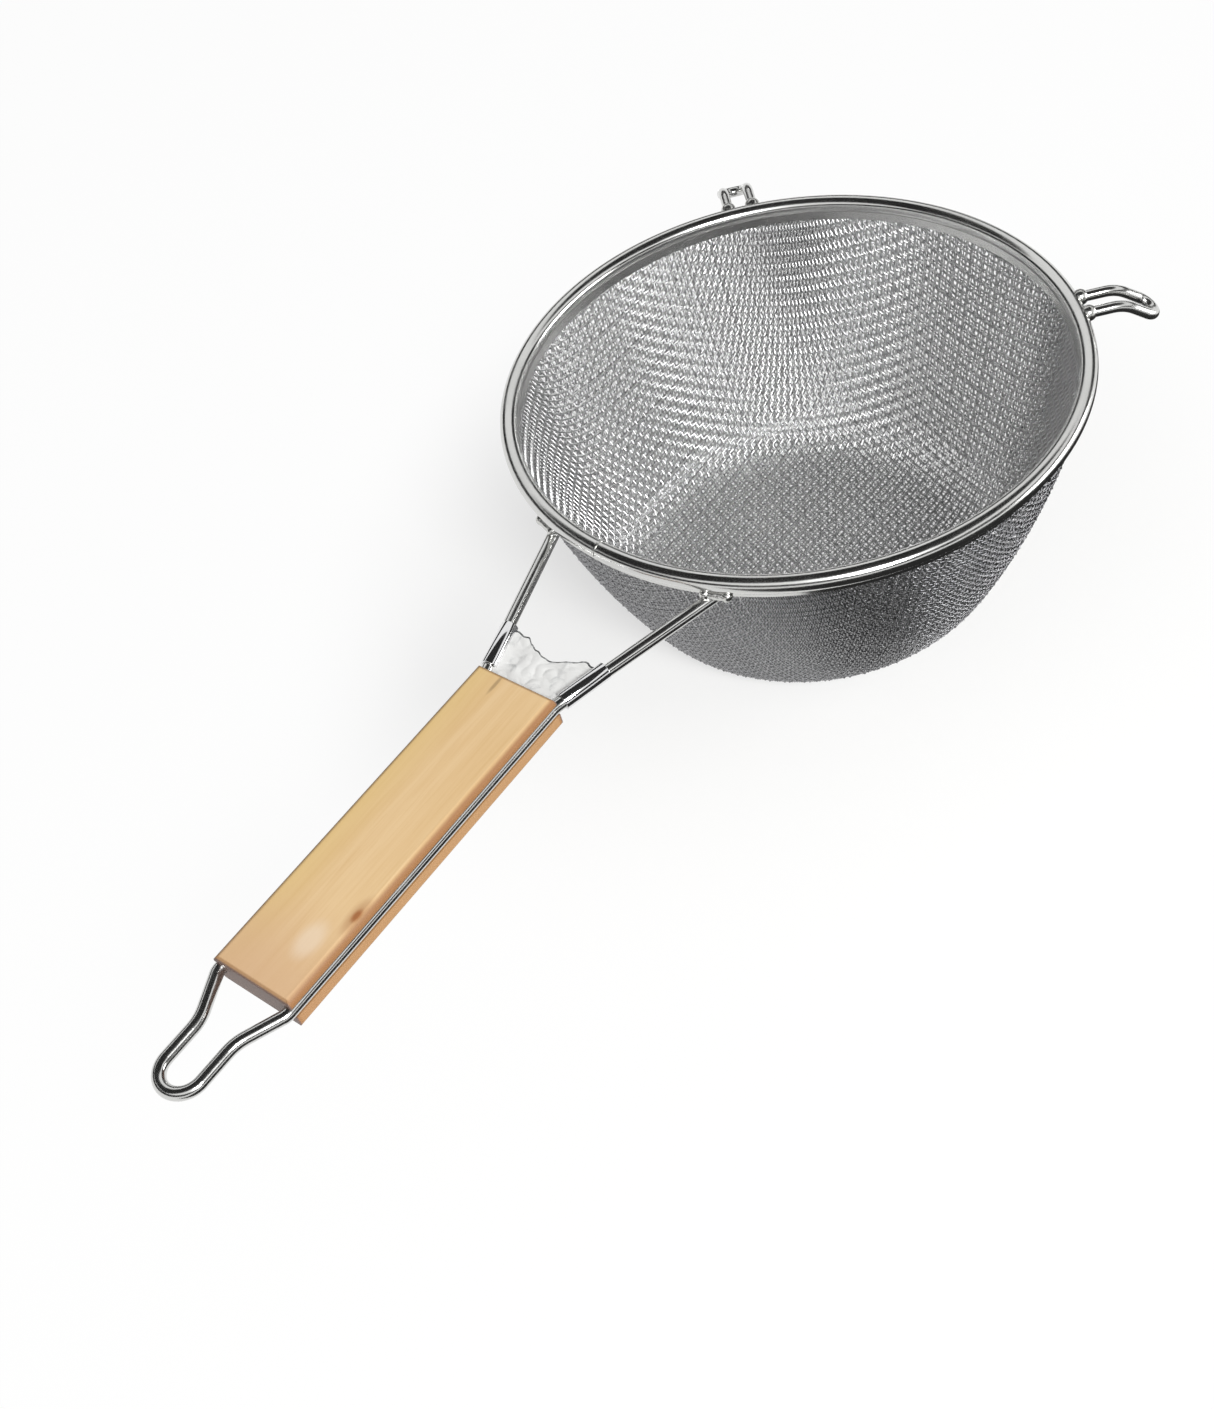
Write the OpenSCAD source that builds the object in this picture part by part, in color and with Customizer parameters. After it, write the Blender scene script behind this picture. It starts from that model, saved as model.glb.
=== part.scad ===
// Double-mesh bowl strainer with a wire-framed wooden grip and two hook rests.
// Origin: centre of the flat base of the bowl. +Z up, handle along -X.

/* [Bowl] */
// Outside diameter of the rim
rim_outer_d = 200; // [160:1:260]
// Height from the underside of the base to the middle of the rim bead
bowl_depth = 88; // [70:1:110]
// Radius of the flat base
floor_r = 50; // [35:1:58]
// Outside radius of the corner between base and wall
corner_r = 23; // [12:0.5:30]
// Radius of the wall's outward bulge, seen in section
wall_r = 300; // [180:5:600]

/* [Mesh] */
// Thickness of the fine outer cloth, two wires thick
outer_mesh_t = 0.6; // [0.4:0.1:1]
// Thickness of the coarse inner cloth, two wires thick
inner_mesh_t = 1.5; // [1:0.1:2]
// Room between the two cloths
mesh_gap = 0.1; // [0.05:0.05:0.4]
// Openings in each row, where the real cloths have hundreds
row_columns = 24; // [16:2:36]
// Rows of openings up the wall
wall_rows = 5; // [3:1:7]
// Rows of openings round the corner
corner_rows = 2; // [1:1:2]
// Width of the square openings in the base
base_opening = 9; // [6:0.5:14]
// Width of the bars between openings
bar_w = 3; // [2:0.1:4]

/* [Rim] */
// Diameter of the rolled bead
bead_d = 6.2; // [5:0.1:8]
// Sheet thickness of the rim band
band_t = 0.7; // [0.4:0.1:1]
// Depth of the smooth inner leg below the middle of the bead
inner_leg_h = 4.6; // [4.2:0.1:10]
// Depth of the outer lip below the middle of the bead
outer_lip_h = 5; // [4.2:0.1:8]
// How far the outer lip stands in from the outside of the bead
lip_step = 1.9; // [1.2:0.1:2.2]
// Clearance between the band and what it clamps
clamp_gap = 0.05; // [0.02:0.01:0.15]
// Place of the band's welded seam, counted from the handle
seam_angle = -4.9; // [-12:0.1:12]
// Width of the seam weld
seam_w = 0.9; // [0.5:0.1:2]
// Height of the seam weld over the band
seam_h = 0.2; // [0.1:0.05:0.4]

/* [Handle wire] */
// Diameter of the handle wire
wire_d = 4.2; // [3:0.1:5]
// Slope of the handle below the plane of the rim, degrees
droop = 2.1; // [0:0.1:6]
// Place of each wire end on the rim, counted from the handle, degrees
prong_angle = 18; // [12:0.1:24]
// Depth of the wire ends below the middle of the bead
prong_drop = 6.5; // [5:0.1:6.8]
// Bend radius where the prongs meet the grip
front_bend_r = 10; // [6:0.5:16]
// Distance of the loop's tip behind the grip, to the middle of the wire
loop_len = 36; // [32:0.2:60]
// Width of the hanging loop between wire middles
loop_w = 14.3; // [10:0.1:20]
// Distance behind the grip where the wire starts to turn in
neck_start = 1.4; // [1.2:0.1:6]
// Length along the handle over which the wire turns in
neck_len = 14; // [12:0.5:18]
// Bend radius at the outer end of the neck
neck_bend_r = 5; // [4:0.5:8]
// Bend radius where the neck runs into the loop
loop_bend_r = 14; // [8:0.5:18]

/* [Grip] */
// Distance from the rim to the front of the grip
grip_setback = 50.4; // [40:0.2:80]
// Length of the grip
grip_len = 120.2; // [90:0.2:150]
// Width of the grip
grip_w = 31; // [26:0.2:40]
// Thickness of the grip
grip_t = 12.4; // [10:0.2:18]
// Rounding of the grip's long edges
grip_round = 2.2; // [1:0.1:2.4]
// Rounding of the edges at the grip's ends
grip_end_round = 1.5; // [0.5:0.1:2.4]
// Distance of the grooves' middle below the top of the grip
groove_drop = 4.7; // [4.2:0.1:7]
// How far the wire stands proud of the grip's sides
wire_proud = 0.6; // [0.2:0.1:1.5]
// Room around the wire in its groove
groove_gap = 0.15; // [0.05:0.05:0.3]

/* [Gusset] */
// Sheet thickness of the gusset plate
gusset_t = 0.7; // [0.4:0.1:1]
// Room between the wire and the rolled hems
hem_gap = 0.05; // [0.02:0.01:0.15]
// Distance of the hems from the bend at the grip
hem_start = 3; // [2:0.1:5]
// Length of the rolled hems along the prongs
hem_len = 16.8; // [10:0.2:26]
// Length of the plate in front of the grip, at its shoulders
gusset_len = 18.3; // [12:0.1:28]
// Width of the scoop in the front edge
scoop_w = 21; // [12:0.5:24]
// Depth of the scoop in the front edge
scoop_depth = 4.5; // [2:0.1:5]

/* [Hook rests] */
// Diameter of the wire of the hook rests
ear_wire_d = 3.8; // [3:0.1:4.4]
// Angle of each hook rest from the axis opposite the handle
ear_angle = 44.5; // [30:0.5:60]
// Width of the hairpin between wire middles
ear_w = 9; // [7:0.1:14]
// Height of the hook rests over the middle of the bead
ear_rise = 0.9; // [0:0.1:1.5]
// Distance from the rim to where the hooks turn down
ear_level = 12; // [9:0.5:20]
// Reach of the hooks' tips past the rim
ear_reach = 25.4; // [21:0.2:40]
// Slope of the hooks' ends below the level, degrees
ear_slope = 36; // [20:1:50]
// Bend radius where the hooks turn down
ear_bend_r = 12; // [8:0.5:16]

/* [Welds] */
// Diameter of the weld run along the rim at each wire end
prong_weld_d = 3; // [2.4:0.1:3.6]
// Diameter of the lumps at the ends of that run
prong_lump_d = 3.8; // [3.4:0.1:4.6]
// Length of that run, outwards from the wire
prong_weld_len = 7; // [4:0.5:14]
// How far that run sits inside the outside of the rim
prong_weld_inset = 1.1; // [0.6:0.1:1.4]
// Depth of that run below the middle of the bead
prong_weld_drop = 3.7; // [3.2:0.1:4.2]
// Diameter of the weld beads at the feet of the hook rests
ear_weld_d = 5.6; // [5:0.1:7]

/* [Hidden] */
$fn = 144;

// Bends are this much fuller than the straight runs, which reach this far into them
bend_over = 0.02;
bend_lap = 0.05;

// Flats that stand for each arc of the bowl's section, and for its short stretches
arc_steps = 8;
lip_steps = 4;

// Rim: middle of the bead, and the wire inside it
rim_r = rim_outer_d / 2;
bead_r = bead_d / 2;
bead_mid_r = rim_r - bead_r;
bore_r = bead_r - band_t;
rim_wire_d = 2 * (bore_r - clamp_gap);

// Depth of each layer, measured inwards from the outside of the bowl
inner_from = outer_mesh_t + mesh_gap;
inner_to = inner_from + inner_mesh_t;

// Bowl section: base, corner arc and wall arc meet tangentially
mesh_top_z = bowl_depth - bore_r - 2 * clamp_gap;
mesh_top_r = rim_r - lip_step - band_t - clamp_gap;
corner_mid = [floor_r, corner_r];
wall_mid = arc_centre(corner_mid, wall_r - corner_r, [mesh_top_r, mesh_top_z], wall_r);
wall_start = atan2(corner_mid[1] - wall_mid[1], corner_mid[0] - wall_mid[0]);

// Grid of openings: squares inside the flat base, and rows from there to the outer lip, each given by
// the middle and radius of its arc, the turn where it starts and the turn that it takes
cut_over = 1;
wall_end = wall_angle(0, bowl_depth - outer_lip_h);
wall_turn = (wall_end - wall_start) / wall_rows;
corner_turn = (wall_start + 90) / corner_rows;
grid_rows = concat(
    [for (k = [0 : corner_rows - 1]) [corner_mid, corner_r, k * corner_turn - 90, corner_turn]],
    [for (k = [0 : wall_rows - 1]) [wall_mid, wall_r, k * wall_turn + wall_start, wall_turn]]
);
base_pitch = base_opening + bar_w;
base_reach = floor_r - bar_w / 2;
base_rows = floor(base_reach / base_pitch);

// Handle wire: corners of half its route, in the handle's own plane
grip_front = -rim_r - grip_setback;
grip_back = grip_front - grip_len;
groove_y = grip_w / 2 + wire_proud - wire_d / 2;
loop_tip = grip_back - loop_len;
prong_at = rim_r * [-cos(prong_angle), sin(prong_angle)];
prong_way = unit(prong_at - [grip_front, groove_y]);
prong_heading = heading(prong_way);
half_route = [
    [[loop_tip + loop_w / 2, loop_w / 2], 0],
    [[grip_back - neck_start - neck_len, loop_w / 2], loop_bend_r],
    [[grip_back - neck_start, groove_y], neck_bend_r],
    [[grip_front, groove_y], front_bend_r],
    [prong_at + (lip_step + band_t + inner_to) * prong_way, 0]
];
hem_od = wire_d + 2 * (hem_gap + gusset_t);

// Hook rests: corners of one leg, out from the bead and down
ear_turn_in = [cos(ear_slope), -sin(ear_slope)];
ear_knee = [rim_r + ear_level, ear_rise];
ear_run = (ear_reach - ear_level - ear_wire_d / 2) / cos(ear_slope) - ear_w / 2;
ear_route = [
    [[bead_mid_r, ear_rise], 0],
    [ear_knee, ear_bend_r],
    [ear_knee + ear_run * ear_turn_in, 0]
];

module outer_mesh() {
    color("Gray")
        difference() {
            cloth(0, outer_mesh_t);
            base_openings();
            row_openings();
        }
}

// Two layers of bars: the rings, and those along the base, lie on top of the others
module inner_mesh() {
    color("DarkGray")
        difference() {
            cloth(inner_from, inner_to);
            base_openings();
            row_openings();
            base_grooves();
            row_grooves();
        }
}

// The band is one strip: a bead rolled round the rim wire, an inner leg and an outer lip
module rim_band() {
    color("Silver")
        rotate_extrude()
            difference() {
                rim_outline();
                translate([bead_mid_r, bowl_depth])
                    circle(r = bore_r);
                strip(-clamp_gap, inner_to + clamp_gap, 0, mesh_top_z + clamp_gap);
            }
}

module rim_wire() {
    color("DimGray")
        translate([0, 0, bowl_depth])
            rotate_extrude()
                translate([bead_mid_r, 0])
                    circle(d = rim_wire_d);
}

// Butt weld over the bead where the ends of the band meet
module rim_seam_weld() {
    span = seam_w / rim_r * 180 / PI;
    color("LightGray")
        rotate([0, 0, 180 + seam_angle - span / 2])
            rotate_extrude(angle = span)
                translate([bead_mid_r, bowl_depth])
                    difference() {
                        circle(r = bead_r + seam_h);
                        circle(r = bead_r);
                        translate([-2 * bead_r, -2 * bead_d])
                            square([2 * bead_d, 2 * bead_d]);
                    }
}

module handle_wire() {
    color("Silver")
        difference() {
            in_handle_plane()
                whole_wire();
            rim_envelope();
        }
}

module wood_grip() {
    color("BurlyWood")
        in_handle_plane()
            difference() {
                grip_block();
                both_sides()
                    grip_groove();
            }
}

// Flat web between the prongs, with both sides rolled round the wire
module gusset_plate() {
    color("Gainsboro")
        in_handle_plane()
            difference() {
                union() {
                    gusset_web();
                    both_sides()
                        on_prong(hem_start)
                            rotate([0, 90, 0])
                                cylinder(d = hem_od, h = hem_len);
                }
                both_sides()
                    on_prong(0)
                        rotate([0, 90, 0])
                            cylinder(d = wire_d + 2 * hem_gap, h = hem_start + 2 * hem_len);
            }
}

module ear_left() {
    ear(1);
}

module ear_right() {
    ear(-1);
}

module ear_welds_left() {
    ear_welds(1);
}

module ear_welds_right() {
    ear_welds(-1);
}

module prong_welds_left() {
    prong_welds();
}

module prong_welds_right() {
    mirror([0, 1, 0])
        prong_welds();
}

// One hairpin of wire, its two feet coped to the bead
module ear(side) {
    color("Silver")
        difference() {
            ear_at(side)
                ear_pin();
            rim_envelope();
        }
}

module ear_pin() {
    for (y = [-1, 1] * ear_w / 2)
        translate([0, y, 0])
            rotate([90, 0, 0])
                bent_wire(ear_route, ear_wire_d);
    translate([ear_route[2][0][0], 0, ear_route[2][0][1]])
        rotate([0, ear_slope, 0])
            u_turn(ear_w, ear_wire_d);
}

// A ring of weld round each foot
module ear_welds(side) {
    color("LightGray")
        difference() {
            ear_at(side)
                for (y = [-1, 1] * ear_w / 2)
                    translate([rim_r, y, ear_rise])
                        difference() {
                            sphere(d = ear_weld_d);
                            translate([-ear_weld_d, 0, 0])
                                rotate([0, 90, 0])
                                    cylinder(d = ear_wire_d, h = 2 * ear_weld_d);
                        }
            rim_envelope();
        }
}

// A run of weld under the bead, outwards from the wire, with a lump at each end
module prong_welds() {
    weld_r = rim_r - prong_weld_inset;
    span = prong_weld_len / weld_r * 180 / PI;
    color("LightGray")
        difference() {
            translate([0, 0, bowl_depth - prong_weld_drop])
                rotate([0, 0, 180 - prong_angle - span]) {
                    rotate_extrude(angle = span)
                        translate([weld_r, 0])
                            circle(d = prong_weld_d);
                    for (turn = [0, span])
                        rotate([0, 0, turn])
                            translate([weld_r, 0, 0])
                                sphere(d = prong_lump_d);
                }
            rim_envelope();
            in_handle_plane()
                half_wire();
        }
}

// Thin shell between two depths below the outside of the bowl
module cloth(from, to) {
    rotate_extrude()
        polygon(concat(bowl_curve(from, mesh_top_z), reverse(bowl_curve(to, mesh_top_z))));
}

// Square openings beside the base's two middle lines, as many in a row as fit its round
module base_openings() {
    for (j = [0 : base_rows - 1], side = [-1, 1])
        for (i = [0 : 1 : base_columns(j) - 1], end = [-1, 1])
            translate([end * (i + 0.5) * base_pitch, side * (j + 0.5) * base_pitch, inner_to / 2])
                cube([base_opening, base_opening, inner_to + 2 * cut_over], center = true);
}

// The lower bars of the base show between the upper ones
module base_grooves() {
    mid = (inner_from + inner_to) / 2;
    for (j = [0 : base_rows - 1], side = [-1, 1])
        if (base_columns(j) > 0)
            translate([0, side * (j + 0.5) * base_pitch, mid + cut_over])
                cube([2 * base_columns(j) * base_pitch - bar_w, base_opening, 2 * cut_over], center = true);
}

// Openings that widen with the bowl, so that the bars between them stay even
module row_openings() {
    for (row = grid_rows, column = [0 : row_columns - 1])
        rotate([0, 0, (column + 0.5) * 360 / row_columns])
            row_opening(row[0], row[1], row[2] + row[3] / 2, row[1] * row[3] * PI / 360 - bar_w / 2);
}

// One opening, square to the cloth and as far up as down from its middle
module row_opening(arc_mid, arc_r, turn, up) {
    middle = arc_mid + arc_r * [cos(turn), sin(turn)];
    low_w = column_room(middle[0] + up * sin(turn));
    high_w = column_room(middle[0] - up * sin(turn));
    translate([middle[0], 0, middle[1]])
        rotate([0, -turn, 0])
            translate([-inner_to - cut_over, 0, 0])
                rotate([90, 0, 90])
                    linear_extrude(inner_to + 2 * cut_over)
                        polygon([
                            [-low_w / 2, -up], [low_w / 2, -up], [high_w / 2, up], [-high_w / 2, up]
                        ]);
}

// The upright bars show between the rings
module row_grooves() {
    mid = (inner_from + inner_to) / 2;
    for (row = grid_rows)
        let (
            bar_turn = bar_w / row[1] * 180 / PI,
            from = row[2] + bar_turn / 2,
            to = row[2] + row[3] - bar_turn / 2
        )
            rotate_extrude()
                polygon(concat(
                    arc(row[0], row[1] - mid, from, to),
                    reverse(arc(row[0], row[1] - inner_to - cut_over, from, to))
                ));
}

// Part of the wall's section between two depths and two heights
module strip(from, to, z_low, z_high) {
    polygon(concat(wall_arc(from, z_low, z_high), reverse(wall_arc(to, z_low, z_high))));
}

// Outside shape of the rim band, with nothing taken out of it
module rim_outline() {
    translate([bead_mid_r, bowl_depth])
        circle(r = bead_r);
    strip(-clamp_gap - band_t, 0, bowl_depth - outer_lip_h, bowl_depth - bead_r / 2);
    strip(
        inner_to, inner_to + clamp_gap + band_t, bowl_depth - inner_leg_h, bowl_depth - bead_r / 3
    );
}

// The rim with the cloth that it holds, down past the wire ends
module rim_envelope() {
    rotate_extrude() {
        rim_outline();
        strip(-clamp_gap, inner_to, bowl_depth - prong_drop - wire_d, bowl_depth - bead_r / 2);
    }
}

// The handle's own plane turns about the wire ends, and its wire lies in z = 0
module in_handle_plane() {
    translate([prong_at[0], 0, bowl_depth - prong_drop])
        rotate([0, -droop, 0])
            translate([-prong_at[0], 0, 0])
                children();
}

module both_sides() {
    children();
    mirror([0, 1, 0])
        children();
}

// A place along the left prong, with x along the wire
module on_prong(distance) {
    translate([grip_front, groove_y, 0])
        rotate([0, 0, prong_heading])
            translate([distance, 0, 0])
                children();
}

module whole_wire() {
    both_sides()
        half_wire();
    translate([loop_tip + loop_w / 2, 0, 0])
        rotate([0, 0, 180])
            u_turn(loop_w, wire_d);
}

module half_wire() {
    bent_wire(half_route, wire_d);
}

// Bar with its long edges and the edges of its ends rounded
module grip_block() {
    translate([grip_back, 0, groove_drop - grip_t / 2])
        intersection() {
            rotate([90, 0, 90])
                linear_extrude(grip_len)
                    rounded_plate(grip_w, grip_t, grip_round);
            translate([grip_len / 2, grip_w / 2, 0])
                rotate([90, 0, 0])
                    linear_extrude(grip_w)
                        rounded_plate(grip_len, grip_t, grip_end_round);
        }
}

// Slot with a round bottom, open to the grip's side
module grip_groove() {
    slot_h = wire_d + 2 * groove_gap;
    translate([grip_back - grip_end_round, groove_y, 0])
        rotate([90, 0, 90])
            linear_extrude(grip_len + 2 * grip_end_round) {
                circle(d = slot_h);
                translate([0, -slot_h / 2])
                    square([grip_w, slot_h]);
            }
}

module gusset_web() {
    hem_front = [grip_front, groove_y] + (hem_start + hem_len) * prong_way;
    shoulder = [grip_front + gusset_len, groove_y + gusset_len * tan(prong_heading)];
    hem_back = [grip_front, groove_y] + hem_start * prong_way;
    half = [[grip_front, 0], [grip_front, hem_back[1] - hem_od], hem_back, shoulder];
    scoop_r = (scoop_w * scoop_w / 4 + scoop_depth * scoop_depth) / (2 * scoop_depth);
    translate([0, 0, -gusset_t / 2])
        linear_extrude(gusset_t)
            difference() {
                polygon(concat(half, reverse([for (p = half) [p[0], -p[1]]])));
                translate([shoulder[0] - scoop_depth + scoop_r, 0])
                    circle(r = scoop_r);
            }
}

module ear_at(side) {
    translate([0, 0, bowl_depth])
        rotate([0, 0, side * ear_angle])
            children();
}

module rounded_plate(w, h, r) {
    square([w - 2 * r, h], center = true);
    square([w, h - 2 * r], center = true);
    for (x = [-1, 1], y = [-1, 1])
        translate([x * (w / 2 - r), y * (h / 2 - r)])
            circle(r = r);
}

// Round wire along a flat route of corners, each with its bend radius
module bent_wire(route, d) {
    for (i = [0 : len(route) - 2]) {
        from = route[i][0] + (trim(route, i) - bend_lap) * leg_way(route, i);
        run = norm(route[i + 1][0] - route[i][0]) - trim(route, i) - trim(route, i + 1);
        translate([from[0], from[1], 0])
            rotate([0, 0, heading(leg_way(route, i))])
                rotate([0, 90, 0])
                    cylinder(d = d, h = run + 2 * bend_lap);
        if (i > 0)
            wire_bend(route, i, d);
    }
}

// Half turn between two parallel legs, round the origin towards +X
module u_turn(w, d) {
    rotate([0, 0, -90])
        rotate_extrude(angle = 180)
            translate([w / 2, 0])
                circle(d = d + bend_over);
}

module wire_bend(route, i, d) {
    turn = route_turn(route, i);
    start = route[i][0] - trim(route, i) * leg_way(route, i - 1);
    hand = turn > 0 ? 1 : -1;
    translate([start[0], start[1], 0])
        rotate([0, 0, heading(leg_way(route, i - 1))])
            translate([0, hand * route[i][1], 0])
                rotate([0, 0, turn > 0 ? -90 : 90 + turn])
                    rotate_extrude(angle = abs(turn))
                        translate([route[i][1], 0])
                            circle(d = d + bend_over);
}

// Direction of a leg, its angle, the turn at a corner and the length a bend takes from each leg
function leg_way(route, i) = unit(route[i + 1][0] - route[i][0]);
function heading(v) = atan2(v[1], v[0]);
function route_turn(route, i) = let (
    a = leg_way(route, i - 1), b = leg_way(route, i)
) atan2(a[0] * b[1] - a[1] * b[0], a * b);
function trim(route, i) = i == 0 || i == len(route) - 1
    ? 0
    : route[i][1] * tan(abs(route_turn(route, i)) / 2);
function unit(v) = v / norm(v);
function reverse(list) = [for (i = [len(list) - 1 : -1 : 0]) list[i]];

// Centre, nearer the axis, that lies at distance ra from a and rb from b
function arc_centre(a, ra, b, rb) = let (
    span = norm(b - a),
    along = (ra * ra - rb * rb + span * span) / (2 * span),
    off = sqrt(ra * ra - along * along),
    way = unit(b - a)
) a + along * way + off * [-way[1], way[0]];

// Section of the bowl at a depth below its outside, from the axis to the rim
function bowl_curve(depth, z_top) = concat(
    [[0, depth]],
    [for (k = [0 : arc_steps]) let (t = -90 + (wall_start + 90) * k / arc_steps)
        corner_mid + (corner_r - depth) * [cos(t), sin(t)]],
    [for (k = [1 : arc_steps]) let (
        t = wall_start + (wall_angle(depth, z_top) - wall_start) * k / arc_steps
    ) wall_mid + (wall_r - depth) * [cos(t), sin(t)]]
);
function wall_angle(depth, z) = asin((z - wall_mid[1]) / (wall_r - depth));
function wall_arc(depth, z_low, z_high) =
    arc(wall_mid, wall_r - depth, wall_angle(depth, z_low), wall_angle(depth, z_high));
function arc(mid, r, from, to) = [
    for (k = [0 : lip_steps]) let (t = from + (to - from) * k / lip_steps) mid + r * [cos(t), sin(t)]
];

// Width of an opening at a radius, and the openings on one side of a row in the base
function column_room(r) = 2 * PI * r / row_columns - bar_w;
function base_columns(j) = let (far = (j + 1) * base_pitch - bar_w / 2)
    floor((sqrt(max(0, base_reach * base_reach - far * far)) + bar_w / 2) / base_pitch);

outer_mesh();
inner_mesh();
rim_band();
rim_wire();
rim_seam_weld();
handle_wire();
wood_grip();
gusset_plate();
ear_left();
ear_right();
ear_welds_left();
ear_welds_right();
prong_welds_left();
prong_welds_right();
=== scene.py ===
"""Looks of a double-mesh bowl strainer, woven and finished around its CAD frame."""

import math
import random

import bpy
import numpy as np
from bpy.props import FloatProperty, FloatVectorProperty, PointerProperty, StringProperty
from mathutils import Matrix, Vector, noise


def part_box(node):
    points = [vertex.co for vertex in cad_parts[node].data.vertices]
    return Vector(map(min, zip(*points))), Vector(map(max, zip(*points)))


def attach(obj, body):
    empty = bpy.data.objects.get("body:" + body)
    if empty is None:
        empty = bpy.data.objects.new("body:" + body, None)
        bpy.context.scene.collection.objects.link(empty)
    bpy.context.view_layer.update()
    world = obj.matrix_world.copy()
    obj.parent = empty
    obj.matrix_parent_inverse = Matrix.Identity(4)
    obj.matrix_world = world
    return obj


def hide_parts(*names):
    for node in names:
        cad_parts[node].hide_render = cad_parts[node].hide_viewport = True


bl_info = {
    "name": "Double mesh strainer",
    "version": (1, 0, 0),
    "blender": (4, 5, 0),
    "location": "3D View > Sidebar > Strainer",
    "description": "Weaves the two cloths of a bowl strainer and finishes its rim, handle and grip",
    "category": "Object",
}

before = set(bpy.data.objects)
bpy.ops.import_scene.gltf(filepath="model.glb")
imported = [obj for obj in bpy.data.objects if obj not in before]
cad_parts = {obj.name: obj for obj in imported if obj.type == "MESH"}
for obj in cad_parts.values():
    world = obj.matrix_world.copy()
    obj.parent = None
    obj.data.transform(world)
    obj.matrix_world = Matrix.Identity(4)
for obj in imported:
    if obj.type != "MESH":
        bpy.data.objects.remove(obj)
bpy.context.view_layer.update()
MM = 0.001

# Height of the photograph in pixels, the film side that a lens is given for, and where the view starts
PHOTO_HEIGHT = 1409
FILM_SIDE = 36.0
VIEW_START = 0.01


def length(name, description, size):
    """A length that a user may change."""
    return FloatProperty(name=name, description=description, default=size, unit="LENGTH")


def lengths(name, description, sizes):
    """Lengths that belong together, such as a place, or a width and a height."""
    return FloatVectorProperty(
        name=name, description=description, default=sizes, size=len(sizes), unit="LENGTH"
    )


def turn(name, description, degrees):
    """An angle that a user may change."""
    return FloatProperty(
        name=name, description=description, default=math.radians(degrees), subtype="ANGLE"
    )


def swatch(name, description, colour):
    """A colour that a user may change, as an sRGB hex value."""
    return StringProperty(name=name, description=description, default=colour)


class BowlShape(bpy.types.PropertyGroup):
    """Section of the bowl, from its flat base to the rim."""

    floor_radius: length("Floor radius", "Radius of the flat base", 50 * MM)
    corner_radius: length("Corner radius", "Corner between base and wall, outside", 23 * MM)
    bulge_radius: length("Wall bulge", "Radius of the wall's outward bulge", 300 * MM)


class ClothSizes(bpy.types.PropertyGroup):
    """Wires of the two cloths."""

    coarse_pitch: length("Coarse pitch", "Wire to wire, ten to the inch", 2.54 * MM)
    coarse_wire: length("Coarse wire", "Diameter of the coarse wire", 0.86 * MM)
    coarse_depth: length("Coarse depth", "Middle of the coarse cloth below the outside", 1.5 * MM)
    coarse_crimp: length("Coarse crimp", "Rise of each coarse wire over the cloth's middle", 0.34 * MM)
    fine_pitch: length("Fine pitch", "Wire to wire, sixteen to the inch", 1.59 * MM)
    fine_wire: length("Fine wire", "Diameter of the fine wire", 0.4 * MM)
    fine_depth: length("Fine depth", "Middle of the fine cloth below the outside", 0.38 * MM)
    fine_crimp: length("Fine crimp", "Rise of each fine wire over the cloth's middle", 0.17 * MM)
    fine_sink: length("Fine sink", "Sag of the fine cloth between the coarse one's crossings", 0.5 * MM)
    warp_angle: turn("Warp", "Way of the first wires on the floor", 0.0)
    weft_angle: turn("Weft", "Way of the crossing wires on the floor, pulled askew by the press", 68.5)


class GussetShape(bpy.types.PropertyGroup):
    """Crumpled sheet between the prongs, rolled round them into two sleeves."""

    sheet: length("Sheet", "Thickness of the sheet", 0.7 * MM)
    reach: length("Reach", "From the grip to the shoulders of the front edge", 18.3 * MM)
    scoop_width: length("Scoop width", "Width of the scoop in the front edge", 21 * MM)
    scoop_depth: length("Scoop depth", "Depth of the scoop in the front edge", 4.5 * MM)
    sleeve_start: length("Sleeve start", "From the grip to the sleeves, along the prong", 3 * MM)
    sleeve_run: length("Sleeve run", "Length of a sleeve", 16.8 * MM)
    sleeve_width: length("Sleeve width", "Diameter of a sleeve", 5.7 * MM)
    prong_apart: length("Prong apart", "From the middle to a prong at the grip", 14 * MM)
    prong_height: length("Prong height", "Height of the prongs at the grip", 79.47 * MM)
    crumple: length("Crumple", "Rise and fall of the creases", 0.55 * MM)
    splay: turn("Splay", "Turn of each prong out from the handle", 15.3)


class GripMarks(bpy.types.PropertyGroup):
    """Lean of the grip and the marks on its top face, each a size along the grip and one across it."""

    tilt: turn("Tilt", "Rise of the handle towards the bowl", 2.1)
    knot_place: lengths("Knot place", "Middle of the knot", (-239.1 * MM, -12.9 * MM))
    knot_reach: lengths("Knot reach", "Half length and half width of the knot", (3.4 * MM, 1.7 * MM))
    knot_halo: lengths("Knot halo", "The same of the grain turned by the knot", (9 * MM, 3.4 * MM))
    patch_place: lengths("Patch place", "Middle of the pale patch", (-251.9 * MM, -6.3 * MM))
    patch_reach: lengths("Patch reach", "Half length and half width of the patch", (9 * MM, 5.5 * MM))
    crack_place: lengths("Crack place", "Middle of the drying crack", (-154.6 * MM, 4.9 * MM))
    crack_reach: lengths("Crack reach", "Half length and half width of the crack", (5.5 * MM, 0.9 * MM))


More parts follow.
